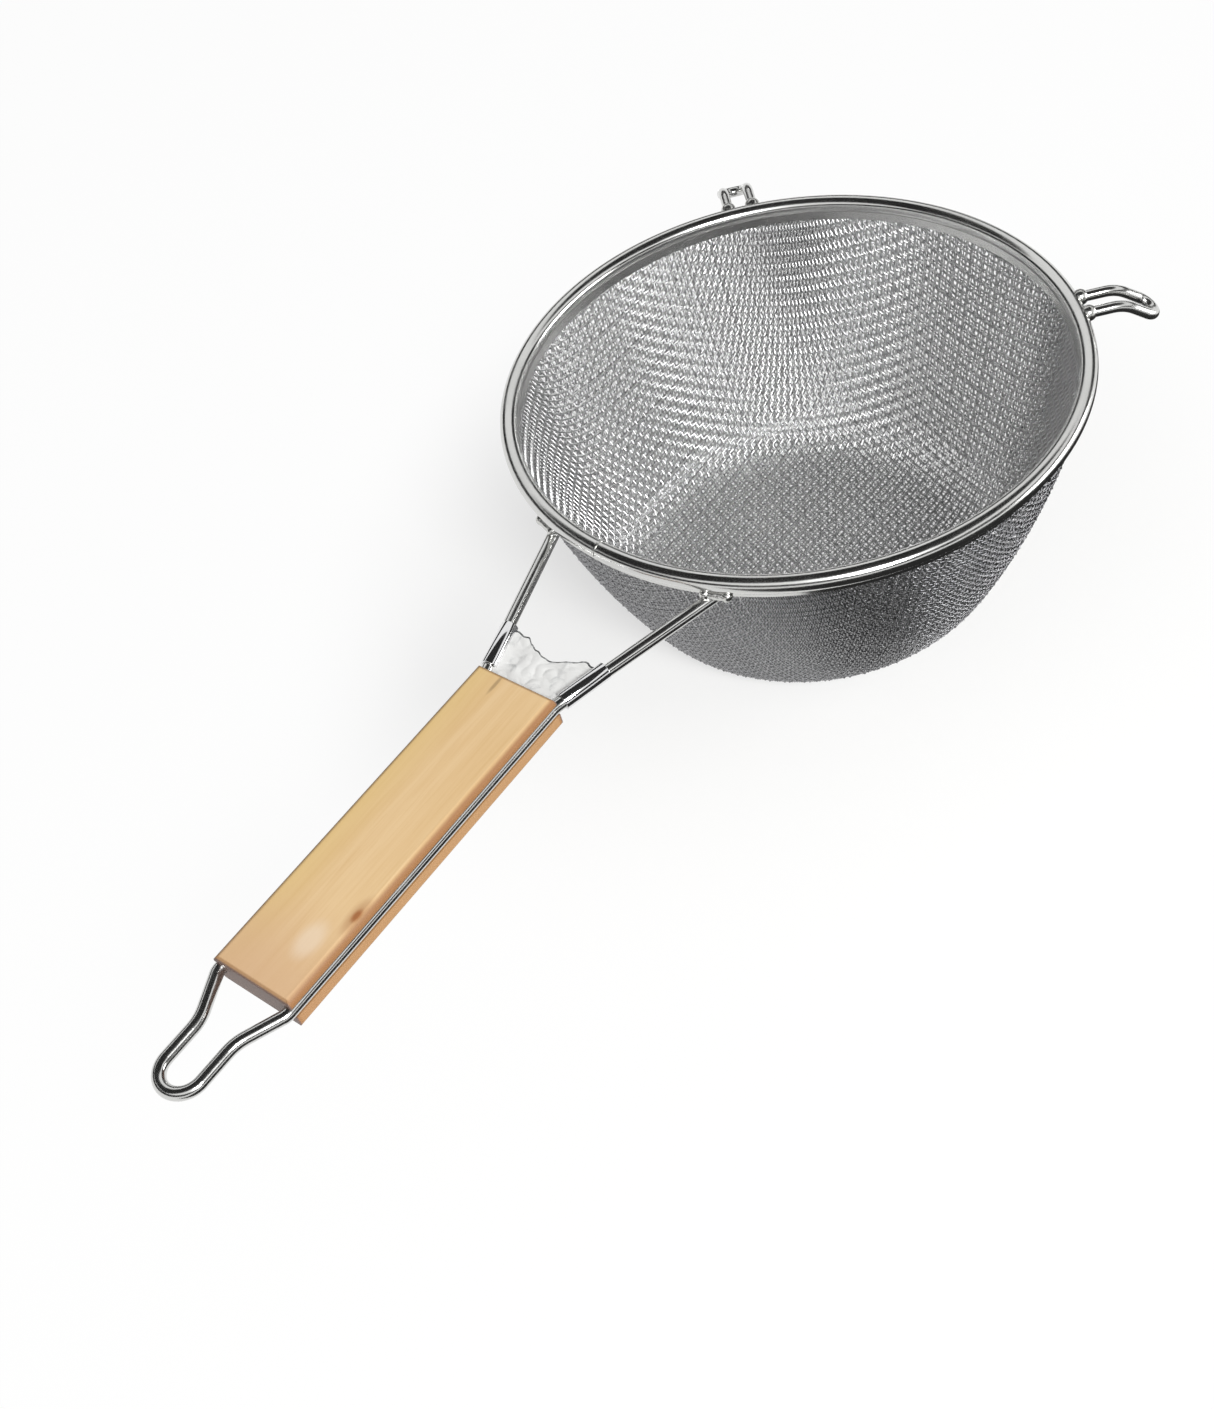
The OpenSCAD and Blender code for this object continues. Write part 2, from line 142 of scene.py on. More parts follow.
class Finishes(bpy.types.PropertyGroup):
    """Colours, and the dullness of the two cloths' wires."""

    steel: swatch("Polished steel", "Rim, handle wire and rests", "#D2D2D0")
    coarse_wire: swatch("Coarse wire", "Wires of the inner cloth", "#D0D0D0")
    coarse_roughness: FloatProperty(
        name="Coarse roughness", description="Dullness of the inner cloth", default=0.33
    )
    # The fine wire's darker grey is partly its own duller steel and partly painted shade: it darkens
    # the gaps seen through the coarse cloth from inside the bowl
    fine_wire: swatch("Fine wire", "Wires of the outer cloth", "#A4A4A6")
    fine_roughness: FloatProperty(
        name="Fine roughness", description="Dullness of the outer cloth", default=0.2
    )
    weld: swatch("Weld", "Weld lumps", "#CFCFCC")
    sheet: swatch("Tinned sheet", "Web of the gusset", "#F4F4F2")
    bloom: swatch("Tin bloom", "Grey bloom on the gusset", "#B9BBBB")
    cut: swatch("Cut edge", "Sheared front edge of the gusset", "#4E4F50")
    wood: swatch("Wood", "Sanded faces of the grip", "#E4C495")
    grain: swatch("Grain", "Darker grain lines of the grip", "#D3AC74")
    sapwood: swatch("Sapwood", "Yellower wood along one edge", "#DDBD7E")
    heartwood: swatch("Heartwood", "Pinker wood at the loop end", "#D2AC86")
    patch: swatch("Patch", "Pale patch near the loop end", "#F1E2CF")
    # Painted shade: the grip's long sides are painted darker than its top
    side: swatch("Side", "Long sides of the grip", "#966A3D")
    # Painted shade: the rounded long edges are painted this brown, and the same brown is also laid on
    # the grip's ends
    edge: swatch("Edge", "Rubbed long edges of the grip", "#8E6238")
    end_grain: swatch("End grain", "Sawn ends of the grip", "#6E564C")
    knot: swatch("Knot", "Small knot in the grip", "#99551F")
    crack: swatch("Crack", "Drying crack at the front end", "#6B543A")


class StageSetup(bpy.types.PropertyGroup):
    """Camera, floor, lamps and dark cards."""

    camera_place: lengths("Camera", "Place of the camera", (-0.38836, -0.31105, 0.49503))
    camera_aim: lengths("Aim", "Point in the middle of the picture", (-0.14675, -0.03323, 0.088))
    camera_roll: turn("Roll", "Turn of the camera about its own axis", 15.404)
    focal_pixels: FloatProperty(
        name="Focal length", description="Focal length in pixels of the photograph", default=1876.46
    )
    floor_colour: swatch("Floor", "Pale floor", "#F2F2F0")
    floor_glow: FloatVectorProperty(
        name="Floor glow", default=(0.6, 0.95), size=2,
        description="Share of plain white in the floor as it is seen, under the bowl and far off",
    )
    glow_reach: lengths(
        "Glow reach", "Distances from the bowl where the glow starts to rise and is full", (0.08, 0.21)
    )
    key_power: FloatProperty(
        name="Key lamp", description="Power of the key lamp", default=13.0, unit="POWER"
    )
    key_size: lengths("Key size", "Width and height of the key lamp", (0.35, 0.35))
    key_place: lengths("Key place", "Place of the key lamp", (-0.48, -0.77, 0.76))
    strip_power: FloatProperty(
        name="Strip lamp", description="Power of the low strip lamp beside the bowl",
        default=3.5, unit="POWER",
    )
    strip_size: lengths("Strip size", "Width and height of the strip lamp", (0.6, 0.2))
    strip_place: lengths("Strip place", "Place of the strip lamp", (0.55, -0.7, 0.2))
    lamp_aim: lengths("Lamp aim", "Point that both lamps face", (-0.05, 0.0, 0.05))
    fill_level: FloatProperty(name="Fill", description="Light from all round", default=0.3)
    wall_radius: length("Dark wall", "Radius of the dark wall that polished metal mirrors", 1.5)
    wall_span: lengths("Wall span", "Lowest and highest edge of the dark wall", (0.29, 0.9))
    canopy_size: lengths("Dark canopy", "Depth and width of the dark canopy overhead", (2.0, 3.5))
    canopy_place: lengths("Canopy place", "Middle of the dark canopy", (-0.28, 0.35, 1.55))
    mat_corners: lengths(
        "Dark mat", "Lowest and highest X, then Y, of the dark card that lies in front",
        (-0.6, 0.25, -0.8, -0.07),
    )
    card_level: FloatProperty(
        name="Card level", description="Brightness of the dark cards", default=0.03
    )


def linear(hex_colour):
    """An sRGB hex value as a linear colour."""
    parts = [int(hex_colour[i : i + 2], 16) / 255 for i in (1, 3, 5)]
    return tuple(c / 12.92 if c <= 0.04045 else ((c + 0.055) / 1.055) ** 2.4 for c in parts) + (1.0,)


def node(tree, kind, inputs=None, **settings):
    """Adds a node; an input is a value, or the socket that feeds it."""
    made = tree.nodes.new("ShaderNode" + kind)
    for name, value in settings.items():
        setattr(made, name, value)
    for socket, value in (inputs or {}).items():
        if isinstance(value, bpy.types.NodeSocket):
            tree.links.new(value, made.inputs[socket])
        else:
            made.inputs[socket].default_value = value
    return made


def new_material(name):
    """A material with its Principled shader, ready for nodes."""
    material = bpy.data.materials.new(name)
    material.use_nodes = True
    return material, material.node_tree, material.node_tree.nodes["Principled BSDF"]


def bare_tree(owner):
    """The emptied node tree of a material or of the world."""
    owner.use_nodes = True
    owner.node_tree.nodes.clear()
    return owner.node_tree


def finishes():
    """The colours that are set in the scene."""
    return bpy.context.scene.strainer_finishes


def dress(material, *names):
    """Gives CAD nodes a material."""
    for name in names:
        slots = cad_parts[name].data.materials
        slots.clear()
        slots.append(material)


# Brightness and dullness of the coils that a cloth is woven from
WIRE_TONES = {"bright": (1.0, 0.9), "even": (0.95, 1.0), "dull": (0.88, 1.1)}


def drawn_wire(name, cloth, tone, dullness):
    """Drawn stainless wire: bright, a little dull from the die, each coil of its own tone."""
    material, _, shader = new_material(name)
    colour = [c * tone for c in linear(getattr(finishes(), f"{cloth}_wire"))[:3]]
    shader.inputs["Base Color"].default_value = (*colour, 1.0)
    shader.inputs["Metallic"].default_value = 1.0
    shader.inputs["Roughness"].default_value = dullness * getattr(finishes(), f"{cloth}_roughness")
    return material


def polished_steel():
    """Polished stainless steel: mirror bright, with wiped smudges and faint dents."""
    smudge_size = 18 * MM
    dent_size = 7 * MM
    dent_depth = 0.15 * MM
    brightest, dullest = 0.14, 0.24
    material, tree, shader = new_material("polished_steel")
    place = node(tree, "TexCoord").outputs["Object"]
    smudge = node(tree, "TexNoise", {"Vector": place, "Scale": 1 / smudge_size, "Detail": 4.0})
    spread = {"From Min": 0.35, "From Max": 0.7, "To Min": brightest, "To Max": dullest}
    shine = node(tree, "MapRange", {"Value": smudge.outputs["Fac"], **spread})
    dents = node(tree, "TexNoise", {"Vector": place, "Scale": 1 / dent_size, "Detail": 2.0})
    bump = node(
        tree, "Bump", {"Height": dents.outputs["Fac"], "Strength": 0.08, "Distance": dent_depth}
    )
    shader.inputs["Base Color"].default_value = linear(finishes().steel)
    shader.inputs["Metallic"].default_value = 1.0
    tree.links.new(shine.outputs["Result"], shader.inputs["Roughness"])
    tree.links.new(bump.outputs["Normal"], shader.inputs["Normal"])
    return material


def weld_metal():
    """Spot weld: bright and lumpy, with soft ripples where it froze."""
    lump_size = 1.6 * MM
    lump_depth = 0.4 * MM
    material, tree, shader = new_material("weld_metal")
    place = node(tree, "TexCoord").outputs["Object"]
    lumps = node(tree, "TexNoise", {"Vector": place, "Scale": 1 / lump_size, "Detail": 3.0})
    bump = node(
        tree, "Bump", {"Height": lumps.outputs["Fac"], "Strength": 0.7, "Distance": lump_depth}
    )
    shader.inputs["Base Color"].default_value = linear(finishes().weld)
    shader.inputs["Metallic"].default_value = 1.0
    shader.inputs["Roughness"].default_value = 0.22
    tree.links.new(bump.outputs["Normal"], shader.inputs["Normal"])
    return material


def tinned_sheet():
    """Thin sheet with a dull coat of tin: nearly white, with clouds of grey bloom and a fine grit."""
    bloom_size = 5 * MM
    grit_size = 0.8 * MM
    grit_depth = 0.1 * MM
    material, tree, shader = new_material("tinned_sheet")
    place = node(tree, "TexCoord").outputs["Object"]
    bloom = node(
        tree, "TexNoise",
        {"Vector": place, "Scale": 1 / bloom_size, "Detail": 5.0, "Distortion": 0.8},
    ).outputs["Fac"]
    grit = node(tree, "TexNoise", {"Vector": place, "Scale": 1 / grit_size, "Detail": 2.0})
    bump = node(
        tree, "Bump", {"Height": grit.outputs["Fac"], "Strength": 0.1, "Distance": grit_depth}
    )
    colour = stain(tree, linear(finishes().sheet), finishes().bloom, bloom, 0.52, 0.72, 0.6)
    tree.links.new(colour, shader.inputs["Base Color"])
    tree.links.new(bump.outputs["Normal"], shader.inputs["Normal"])
    shader.inputs["Metallic"].default_value = 0.25
    shader.inputs["Roughness"].default_value = 0.42
    return material


def cut_edge():
    """Raw sheared edge of the sheet: dark grey and uneven."""
    burr_size = 1.5 * MM
    material, tree, shader = new_material("cut_edge")
    place = node(tree, "TexCoord").outputs["Object"]
    burr = node(tree, "TexNoise", {"Vector": place, "Scale": 1 / burr_size, "Detail": 3.0})
    colour = stain(tree, linear(finishes().cut), finishes().bloom, burr.outputs["Fac"], 0.4, 0.7)
    tree.links.new(colour, shader.inputs["Base Color"])
    shader.inputs["Metallic"].default_value = 0.6
    shader.inputs["Roughness"].default_value = 0.5
    return material


def stain(tree, colour, tint, value, start, end, share=1.0):
    """Lays a tint over a colour: none where the value is at the start, its full share at the end."""
    amount = node(
        tree, "MapRange", {"Value": value, "From Min": start, "From Max": end, "To Max": share},
        interpolation_type="SMOOTHSTEP",
    )
    return node(
        tree, "MixRGB", {"Fac": amount.outputs["Result"], "Color1": colour, "Color2": linear(tint)}
    ).outputs["Color"]


# Share of an oval mark's reach inside which its tint is full
MARK_CORE = 0.3


def oval_mark(tree, place, colour, tint, middle, reach, share):
    """Stains a soft oval that goes right through the wood."""
    here = node(
        tree, "Mapping", {"Vector": place, "Location": (*middle, 0.0), "Scale": (*reach, 1.0)},
        vector_type="TEXTURE",
    )
    level = {0: here.outputs["Vector"], 1: (1.0, 1.0, 0.0)}
    flat = node(tree, "VectorMath", level, operation="MULTIPLY")
    away = node(tree, "VectorMath", {0: flat.outputs["Vector"]}, operation="LENGTH")
    return stain(tree, colour, tint, away.outputs["Value"], 1.0, MARK_CORE, share)


def streaks(tree, place, long, wide):
    """Uneven marks drawn out along the grain."""
    drawn = node(tree, "Mapping", {"Vector": place, "Scale": (1 / long, 1 / wide, 1 / wide)})
    return node(
        tree, "TexNoise",
        {"Vector": drawn.outputs["Vector"], "Scale": 1.0, "Detail": 4.0, "Distortion": 0.4},
    ).outputs["Fac"]


# Width of the painted shade along the grip's rounded long edges, its reach down the sides, and how soon
# the brown is full
EDGE_SHADE_WIDTH = 2.2 * MM
EDGE_SHADE_DEPTH = 4.5 * MM
EDGE_SHADE_FADE = 1.7 * MM

# Depths below the grip's top at which the painted shade on the sides starts and is full
SIDE_SHADE_DEPTHS = (4.0 * MM, 5.5 * MM)

# Distances from the grip's ends at which the brown, and then the sawn grain, start and are full
END_BROWN = (1.6 * MM, 1.0 * MM)
END_SAWN = (0.8 * MM, 0.3 * MM)


def sanded_wood():
    """Sanded beech-like wood, thinly lacquered: faint long grain, painted shade on the rounded long
    edges and on the sides, sawn ends, a knot.
    """
    fibre_depth = 0.2 * MM
    material, tree, shader = new_material("sanded_wood")
    colours, shape = finishes(), bpy.context.scene.strainer_grip
    low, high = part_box("wood_grip")
    half = (high - low) / 2
    half.z -= half.x * math.tan(shape.tilt)
    place = node(tree, "TexCoord").outputs["Object"]
    level = node(
        tree, "Mapping",
        {"Vector": place, "Location": (low + high) / 2, "Rotation": (0, -shape.tilt, 0)},
        vector_type="TEXTURE",
    ).outputs["Vector"]
    axes = node(tree, "SeparateXYZ", {"Vector": level}).outputs
    along = node(tree, "Math", {0: axes["X"]}, operation="ABSOLUTE").outputs["Value"]
    across = node(tree, "Math", {0: axes["Y"]}, operation="ABSOLUTE").outputs["Value"]
    bands = streaks(tree, level, long=80 * MM, wide=5 * MM)
    fibres = streaks(tree, level, long=20 * MM, wide=0.9 * MM)

    colour = stain(tree, linear(colours.wood), colours.grain, bands, 0.35, 0.75, 0.5)
    colour = stain(tree, colour, colours.grain, fibres, 0.4, 0.8, 0.35)
    colour = stain(tree, colour, colours.sapwood, axes["Y"], 0.1 * half.y, half.y, 0.7)
    colour = stain(tree, colour, colours.heartwood, axes["X"], -0.4 * half.x, -half.x, 0.75)
    for tint, middle, reach, share in (
        (colours.patch, shape.patch_place, shape.patch_reach, 0.4),
        (colours.knot, shape.knot_place, shape.knot_halo, 0.4),
        (colours.knot, shape.knot_place, shape.knot_reach, 0.8),
        (colours.crack, shape.crack_place, shape.crack_reach, 0.45),
    ):
        colour = oval_mark(tree, place, colour, tint, middle, reach, share)

    # Painted shade: only the rounded upper edges are painted brown, and the sides below them are
    # painted darker than the top
    near_edge = node(tree, "Math", {0: across, 1: half.y - EDGE_SHADE_WIDTH}, operation="SUBTRACT")
    upper = node(tree, "Math", {0: axes["Z"], 1: half.z - EDGE_SHADE_DEPTH}, operation="SUBTRACT")
    edge_shade = node(
        tree, "Math", {0: near_edge.outputs["Value"], 1: upper.outputs["Value"]}, operation="MINIMUM"
    ).outputs["Value"]
    side_shade_from, side_shade_full = (half.z - depth for depth in SIDE_SHADE_DEPTHS)
    brown_from, brown_full = (half.x - depth for depth in END_BROWN)
    sawn_from, sawn_full = (half.x - depth for depth in END_SAWN)
    # Painted shade: the sides below the top are painted darker
    colour = stain(tree, colour, colours.side, axes["Z"], side_shade_from, side_shade_full, 0.85)
    colour = stain(tree, colour, colours.edge, edge_shade, 0.0, EDGE_SHADE_FADE)
    colour = stain(tree, colour, colours.edge, along, brown_from, brown_full, 0.6)
    colour = stain(tree, colour, colours.end_grain, along, sawn_from, sawn_full)

    bump = node(tree, "Bump", {"Height": fibres, "Strength": 0.12, "Distance": fibre_depth})
    tree.links.new(colour, shader.inputs["Base Color"])
    tree.links.new(bump.outputs["Normal"], shader.inputs["Normal"])
    shader.inputs["Roughness"].default_value = 0.55
    shader.inputs["Coat Weight"].default_value = 0.15
    shader.inputs["Coat Roughness"].default_value = 0.35
    return material


# Least radius and area that are divided by
TINY_RADIUS = 1e-9
TINY_AREA = 1e-12

# Rounds that bring a crossing to its place, and the part of the squared pitch that it may then miss by
ROUNDS = 8
MISS_PART = 100

# Run of a net up the wall, as a share of the bowl's height, with some to spare
WALL_RUN = 1.2

# Fewest crossings of a wire that is kept
SHORTEST_WIRE = 3

# Share of a link that a wire runs level beside each crossing, and the number of sides of the wire
COARSE_CROWN = 0.2
COARSE_SIDES = 6
FINE_CROWN = 0.0
FINE_SIDES = 4


class BowlSection:
    """Half section of the bowl at one depth below its outside."""

    # Shares of the two arcs that are used, so that no slope grows without end
    WALL_USED = 0.999
    CORNER_USED = 0.9999

    def __init__(self, shape, depth):
        low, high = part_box("outer_mesh")
        self.top = high.z
        self.floor = shape.floor_radius
        self.corner_mid = np.array([shape.floor_radius, shape.corner_radius])
        self.corner = shape.corner_radius - depth
        self.wall = shape.bulge_radius - depth
        rim = np.array([(high.x - low.x) / 2, high.z])
        self.wall_mid = self.bulge_middle(shape, rim)
        way = self.corner_mid - self.wall_mid
        self.wall_start = math.atan2(way[1], way[0])
        self.wall_from = self.floor + self.corner * math.cos(self.wall_start)
        self.corner_run = self.corner * (self.wall_start + math.pi / 2)
        self.widest = self.wall_mid[0] + self.WALL_USED * self.wall

    def bulge_middle(self, shape, rim):
        """Middle of the wall's arc, which touches the corner's arc and passes the rim."""
        near, far = shape.bulge_radius - shape.corner_radius, shape.bulge_radius
        way = rim - self.corner_mid
        span = np.hypot(*way)
        way = way / span
        along = (near**2 - far**2 + span**2) / (2 * span)
        off = math.sqrt(near**2 - along**2)
        return self.corner_mid + along * way + off * np.array([-way[1], way[0]])

    def height(self, radius):
        """Height and slope of the cloth at each radius."""
        radius = np.clip(radius, 0.0, self.widest)
        corner_x = np.clip(radius - self.floor, 0.0, self.CORNER_USED * self.corner)
        corner_rise = np.sqrt(self.corner**2 - corner_x**2)
        wall_x = np.clip(radius - self.wall_mid[0], 0.0, self.wall)
        wall_rise = np.sqrt(self.wall**2 - wall_x**2)
        on_wall = radius > self.wall_from
        height = np.where(on_wall, self.wall_mid[1] - wall_rise, self.corner_mid[1] - corner_rise)
        slope = np.where(on_wall, wall_x / wall_rise, corner_x / corner_rise)
        return height, slope

    def along(self, run, angle):
        """Points at a run of cloth from the middle, straight up the bowl at an angle."""
        side, run = np.sign(run), np.abs(run)
        past_floor = run - self.floor
        corner_turn = np.clip(past_floor, 0.0, self.corner_run) / self.corner - math.pi / 2
        wall_turn = self.wall_start + np.clip(past_floor - self.corner_run, 0.0, None) / self.wall
        on_wall = run > self.floor + self.corner_run
        wall_radius = self.wall_mid[0] + self.wall * np.cos(wall_turn)
        corner_radius = self.floor + self.corner * np.cos(corner_turn)
        radius = np.where(on_wall, wall_radius, corner_radius)
        radius = side * np.where(run < self.floor, run, radius)
        height, _ = self.height(np.abs(radius))
        return np.stack([radius * math.cos(angle), radius * math.sin(angle), height], axis=-1)

    def normals(self, points):
        """Ways square to the cloth, into the bowl."""
        x, y = points[..., 0], points[..., 1]
        radius = np.hypot(x, y)
        _, slope = self.height(radius)
        lean = -slope / np.maximum(radius, TINY_RADIUS)
        ways = np.stack([lean * x, lean * y, np.ones_like(radius)], axis=-1)
        return ways / np.linalg.norm(ways, axis=-1, keepdims=True)


def fourth_corner(section, a, b, c, pitch):
    """The crossing one link from a and one from b, across from c, on the bowl."""
    point = a + b - c
    for _ in range(ROUNDS):
        radius = np.hypot(point[:, 0], point[:, 1])
        point[:, 2], slope = section.height(radius)
        rise = slope / np.maximum(radius, TINY_RADIUS)
        to_both = (point - a, point - b)
        (ax, ay), (bx, by) = [
            (w[:, 0] + w[:, 2] * rise * point[:, 0], w[:, 1] + w[:, 2] * rise * point[:, 1])
            for w in to_both
        ]
        miss_a, miss_b = [((w**2).sum(1) - pitch**2) / 2 for w in to_both]
        area = ax * by - ay * bx
        area = np.where(np.abs(area) < TINY_AREA, np.nan, area)
        point[:, 0] -= (miss_a * by - miss_b * ay) / area
        point[:, 1] -= (miss_b * ax - miss_a * bx) / area
    radius = np.hypot(point[:, 0], point[:, 1])
    point[:, 2], _ = section.height(radius)
    allowed = pitch**2 / MISS_PART
    lost = ~(radius < section.widest) | (np.abs(miss_a) > allowed) | (np.abs(miss_b) > allowed)
    point[lost] = np.nan
    return point


def drape(section, pitch, warp, weft):
    """A net of equal links laid over the bowl from its middle, as woven cloth takes such a shape."""
    reach = section.floor + section.corner_run + WALL_RUN * section.top
    count = int(reach / pitch)
    net = np.full((2 * count + 1, 2 * count + 1, 3), np.nan)
    runs = np.arange(-count, count + 1) * pitch
    net[:, count] = section.along(runs, warp)
    net[count, :] = section.along(runs, weft)
    with np.errstate(invalid="ignore"):
        for side_i in (1, -1):
            for side_j in (1, -1):
                for total in range(2, 2 * count + 1):
                    i = np.arange(max(1, total - count), min(count, total - 1) + 1)
                    j = total - i
                    here_i, back_i = count + side_i * i, count + side_i * (i - 1)
                    here_j, back_j = count + side_j * j, count + side_j * (j - 1)
                    a, b, c = net[back_i, here_j], net[here_i, back_j], net[back_i, back_j]
                    net[here_i, here_j] = fourth_corner(section, a, b, c, pitch)
    return net


def wire_path(section, points, lifts, crown):
    """One wire of the weave, over and under its neighbours, cut off at the rim."""
    inside = np.isfinite(points[:, 2]) & (points[:, 2] <= section.top)
    if inside.sum() < SHORTEST_WIRE:
        return None
    first, last = np.flatnonzero(inside)[[0, -1]]
    points, lifts = points[first : last + 1], lifts[first : last + 1]
    lift = section.normals(points) * lifts[:, None]
    if not crown:
        return points + lift
    links = np.diff(points, axis=0)
    path = np.empty((2 * len(links), 3))
    path[0::2] = points[:-1] + crown * links + lift[:-1]
    path[1::2] = points[1:] - crown * links + lift[1:]
    return path


def weave(name, section, pitch, wire, crimp, ways, crown, sides, sink=None):
    """Both sets of wires of one cloth, each set as two pieces."""
    net = drape(section, pitch, *ways)
    count = net.shape[0] // 2
    index = np.arange(-count, count + 1)
    rows, columns = index[:, None], index[None, :]
    over = np.where((rows + columns) % 2 == 0, crimp, -crimp)
    base = np.zeros_like(over) if sink is None else sink(rows * pitch, columns * pitch)
    sets = {"warp": (net.swapaxes(0, 1), (base + over).T), "weft": (net, base - over)}
    tones = [drawn_wire(f"{name}_{tone}", name, *look) for tone, look in WIRE_TONES.items()]
    draw = random.Random(name)
    pieces = []
    for set_name, (grid, lifts) in sets.items():
        for half, chosen in (("a", index < 0), ("b", index >= 0)):
            paths = [wire_path(section, p, lift, crown) for p, lift in zip(grid[chosen], lifts[chosen])]
            paths = [p for p in paths if p is not None]
            pieces.append(wires_piece(f"{name}_{set_name}_{half}", paths, wire, sides, tones, draw))
    return pieces


def wires_piece(name, paths, wire, sides, tones, draw):
    """Tubes along the paths, as one mesh."""
    curve = bpy.data.curves.new(name, "CURVE")
    curve.dimensions = "3D"
    curve.bevel_depth = wire / 2
    curve.bevel_resolution = sides // 2 - 2
    curve.use_fill_caps = True
    for path in paths:
        spline = curve.splines.new("POLY")
        spline.points.add(len(path) - 1)
        spline.points.foreach_set("co", np.column_stack([path, np.ones(len(path))]).ravel())
        spline.material_index = draw.randrange(len(tones))
    for tone in tones:
        curve.materials.append(tone)
    piece = bpy.data.objects.new(name, curve)
    bpy.context.collection.objects.link(piece)
    bpy.ops.object.select_all(action="DESELECT")
    bpy.context.view_layer.objects.active = piece
    piece.select_set(True)
    bpy.ops.object.convert(target="MESH")
    return bpy.context.view_layer.objects.active


def seen_share(tree):
    """1 for rays that look at a surface, mirror it or pass through glass, else 0."""
    rays = node(tree, "LightPath").outputs
    straight = node(
        tree, "Math", {0: rays["Is Camera Ray"], 1: rays["Is Glossy Ray"]}, operation="MAXIMUM"
    ).outputs["Value"]
    return node(
        tree, "Math", {0: straight, 1: rays["Is Transmission Ray"]}, operation="MAXIMUM"
    ).outputs["Value"]


class STRAINER_OT_stage(bpy.types.Operator):
    """Camera, lamps, white surroundings, dark cards and a pale floor"""

    bl_idname = "strainer.stage"
    bl_label = "Stage"

    # Side of the floor, number of sides of the dark wall, and height of the dark mat over the floor
    FLOOR_SIDE = 12.0
    WALL_SIDES = 48
    MAT_HEIGHT = 0.4 * MM
    WHITE = (1, 1, 1, 1)

    def execute(self, context):
        setup = context.scene.strainer_stage
        self.camera(context.scene, setup)
        self.surroundings(context.scene, setup)
        self.floor(setup)
        self.flags(setup)
        aim = Vector(setup.lamp_aim)
        self.lamp("key_lamp", setup.key_power, setup.key_size, setup.key_place, aim)
        self.lamp("strip_lamp", setup.strip_power, setup.strip_size, setup.strip_place, aim)
        context.scene.view_settings.view_transform = "Standard"
        return {"FINISHED"}

    def camera(self, scene, setup):
        """The photograph's camera."""
        data = bpy.data.cameras.new("camera")
        data.sensor_width = FILM_SIDE
        data.lens = setup.focal_pixels * FILM_SIDE / PHOTO_HEIGHT
        data.clip_start = VIEW_START
        camera = bpy.data.objects.new("camera", data)
        scene.collection.objects.link(camera)
        place = Vector(setup.camera_place)
        level = (Vector(setup.camera_aim) - place).to_track_quat("-Z", "Y").to_matrix().to_4x4()
        roll = Matrix.Rotation(-setup.camera_roll, 4, "Z")
        camera.matrix_world = Matrix.Translation(place) @ level @ roll
        scene.camera = camera

    def surroundings(self, scene, setup):
        """White where it is looked at or mirrored, and a soft even light on the object."""
        world = bpy.data.worlds.new("surroundings")
        scene.world = world
        tree = bare_tree(world)
        seen = seen_share(tree)
        fill = node(tree, "Background", {"Color": self.WHITE, "Strength": setup.fill_level})
        white = node(tree, "Background", {"Color": self.WHITE, "Strength": 1.0})
        mixed = node(
            tree, "MixShader",
            {0: seen, 1: fill.outputs["Background"], 2: white.outputs["Background"]},
        )
        node(tree, "OutputWorld", {"Surface": mixed.outputs["Shader"]})

    def floor(self, setup):
        """A pale floor that keeps the shadow near the bowl and is plain white far off."""
        bpy.ops.mesh.primitive_plane_add(size=self.FLOOR_SIDE)
        floor = bpy.context.object
        floor.name = "floor"
        material = bpy.data.materials.new("pale_floor")
        tree = bare_tree(material)
        place = node(tree, "TexCoord").outputs["Object"]
        away = node(tree, "VectorMath", {0: place}, operation="LENGTH")
        near, far = setup.glow_reach
        low, high = setup.floor_glow
        spread = {"From Min": near, "From Max": far, "To Min": low, "To Max": high}
        glow = node(
            tree, "MapRange", {"Value": away.outputs["Value"], **spread},
            interpolation_type="SMOOTHSTEP",
        ).outputs["Result"]
        seen = node(tree, "Math", {0: seen_share(tree), 1: glow}, operation="MULTIPLY")
        matt = node(tree, "BsdfDiffuse", {"Color": linear(setup.floor_colour)})
        white = node(tree, "Emission", {"Color": self.WHITE, "Strength": 1.0})
        mixed = node(
            tree, "MixShader",
            {0: seen.outputs["Value"], 1: matt.outputs["BSDF"], 2: white.outputs["Emission"]},
        )
        node(tree, "OutputMaterial", {"Surface": mixed.outputs["Shader"]})
        floor.data.materials.append(material)

    def flags(self, setup):
        """A dark wall, canopy and mat that only mirroring metal shows, as black card in a studio."""
        low, high = setup.wall_span
        left, right, front, back = setup.mat_corners
        bpy.ops.mesh.primitive_cylinder_add(
            vertices=self.WALL_SIDES, radius=setup.wall_radius, depth=high - low,
            end_fill_type="NOTHING", location=(0, 0, (low + high) / 2),
        )
        wall = bpy.context.object
        wall.name = "dark_wall"
        bpy.ops.mesh.primitive_plane_add(size=1.0, location=setup.canopy_place)
        canopy = bpy.context.object
        canopy.name = "dark_canopy"
        canopy.scale = (*setup.canopy_size, 1)
        canopy.rotation_euler.z = math.atan2(setup.camera_place[1], setup.camera_place[0])
        bpy.ops.mesh.primitive_plane_add(
            size=1.0, location=((left + right) / 2, (front + back) / 2, self.MAT_HEIGHT)
        )
        mat = bpy.context.object
        mat.name = "dark_mat"
        mat.scale = (right - left, back - front, 1)
        material = bpy.data.materials.new("black_card")
        tree = bare_tree(material)
        black = node(tree, "Emission", {"Color": self.WHITE, "Strength": setup.card_level})
        node(tree, "OutputMaterial", {"Surface": black.outputs["Emission"]})
        for flag in (wall, canopy, mat):
            flag.data.materials.append(material)
            for ray in ("camera", "diffuse", "transmission", "volume_scatter", "shadow"):
                setattr(flag, f"visible_{ray}", False)

